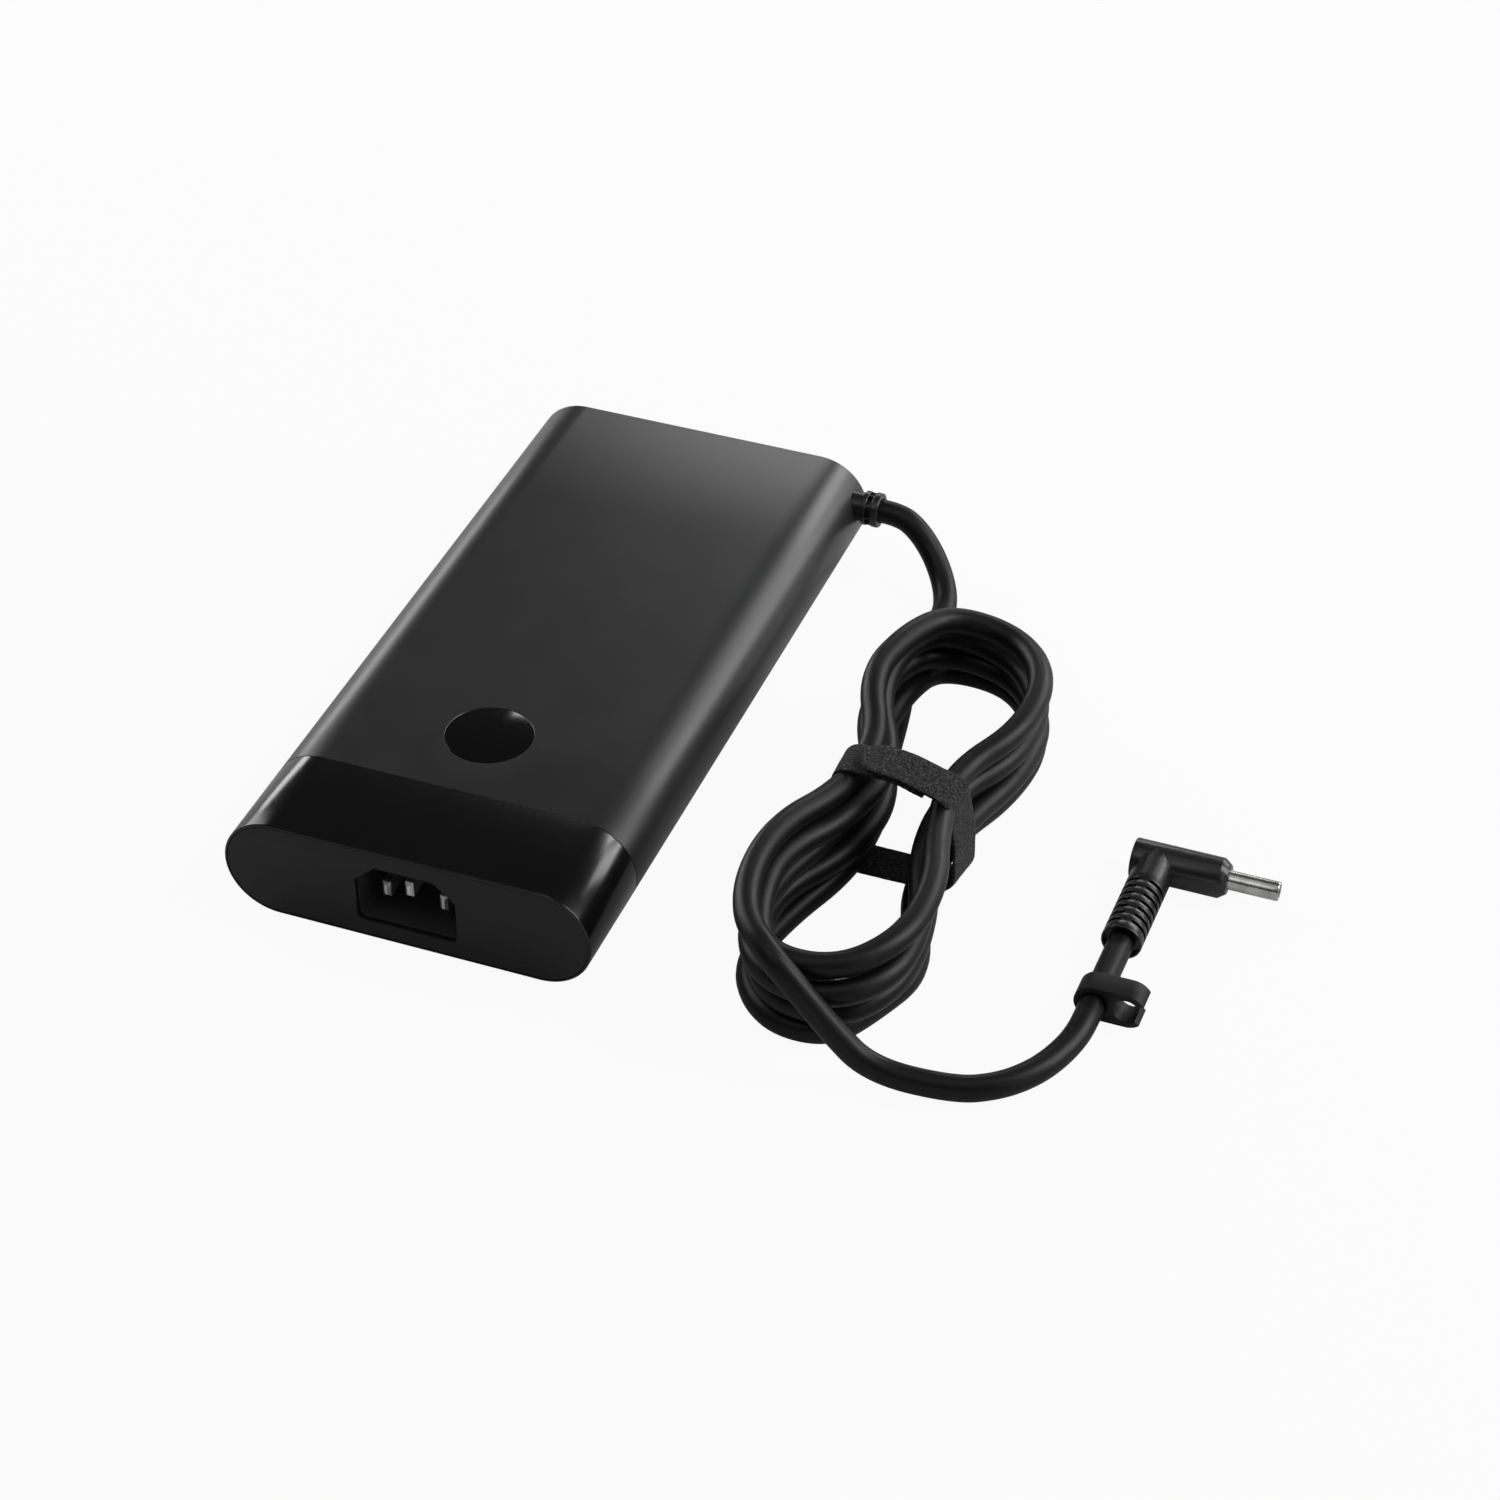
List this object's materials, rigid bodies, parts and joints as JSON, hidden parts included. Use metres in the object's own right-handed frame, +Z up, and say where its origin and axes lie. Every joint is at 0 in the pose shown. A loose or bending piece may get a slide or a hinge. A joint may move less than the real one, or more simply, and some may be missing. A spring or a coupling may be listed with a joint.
{
  "type": "laptop power adapter",
  "caption": "Slim oval-section power brick with a mains inlet, and a wound output cord with a strap, a sliding clip and an angled barrel plug.",
  "frame": {"origin": "middle of the housing's underside", "axes": "+Y along the housing's length towards the end where the cord leaves, +X towards the side that the cord leaves from, +Z up"},
  "size_m": [0.2227, 0.1897, 0.0324],
  "materials": {
    "housing_plastic": "fine satin moulding",
    "gloss_band": "high gloss",
    "end_plate_plastic": "matt",
    "inlay_gloss": "polished",
    "inlet_plastic": "matt",
    "pin_metal": "nickel plated",
    "gland_rubber": "satin moulding",
    "cord_pvc": "satin PVC",
    "strap_fabric": "woven hook-and-loop",
    "clip_rubber": "satin",
    "plug_plastic": "satin PVC",
    "barrel_metal": "nickel plated",
    "insulator_plastic": "matt",
    "contact_metal": "plated",
    "board_laminate": "coated laminate",
    "aluminium_sheet": "plain",
    "liner_film": "smooth film",
    "ferrite": "sintered",
    "copper_winding": "enamelled",
    "bobbin_plastic": "moulded",
    "capacitor_can": "sleeved",
    "capacitor_box": "cast",
    "ceramic_disc": "dipped",
    "epoxy_case": "moulded",
    "thermal_pad": "soft",
    "lead_sleeve": "insulated"
  },
  "bodies": {
    "adapter": {"boost_inductor_core": "ferrite", "boost_inductor_winding": "copper_winding", "bridge_rectifier": "epoxy_case", "bulk_capacitors": "capacitor_can", "controller_board": "board_laminate", "controller_chips": "epoxy_case", "cord_from_gland": "cord_pvc", "cord_gland": "gland_rubber", "cord_hank": "cord_pvc", "cord_to_plug": "cord_pvc", "front_end_plate": "end_plate_plastic", "gloss_front_band": "gloss_band", "hank_strap": "strap_fabric", "inlet_earth_pin": "pin_metal", "inlet_housing": "inlet_plastic", "inlet_line_pin": "pin_metal", "inlet_neutral_pin": "pin_metal", "input_choke_core": "ferrite", "input_choke_windings": "copper_winding", "input_leads": "lead_sleeve", "insulating_liner": "liner_film", "lower_heat_spreader": "aluminium_sheet", "main_board": "board_laminate", "main_sleeve": "housing_plastic", "mains_fuse": "epoxy_case", "optocoupler": "epoxy_case", "output_capacitors": "capacitor_can", "output_choke": "ferrite", "output_leads": "lead_sleeve", "output_rectifiers": "epoxy_case", "plug_barrel": "barrel_metal", "plug_centre_contact": "contact_metal", "plug_insulator": "insulator_plastic", "plug_overmould": "plug_plastic", "power_transistors": "epoxy_case", "primary_heatsink": "aluminium_sheet", "rear_end_plate": "end_plate_plastic", "secondary_heatsink": "aluminium_sheet", "thermal_pads": "thermal_pad", "thermistor": "ceramic_disc", "top_round_inlay": "inlay_gloss", "transformer_bobbin": "bobbin_plastic", "transformer_core": "ferrite", "transformer_winding": "copper_winding", "upper_heat_spreader": "aluminium_sheet", "x_capacitor": "capacitor_box", "y_capacitors": "ceramic_disc"},
    "clip": {"cord_clip": "clip_rubber"}
  },
  "joints": [
    {"name": "clip_slide", "type": "slide", "parent": "adapter", "child": "clip", "axis": [0, 1, 0], "range_m": [0, 0.0137]}
  ]
}
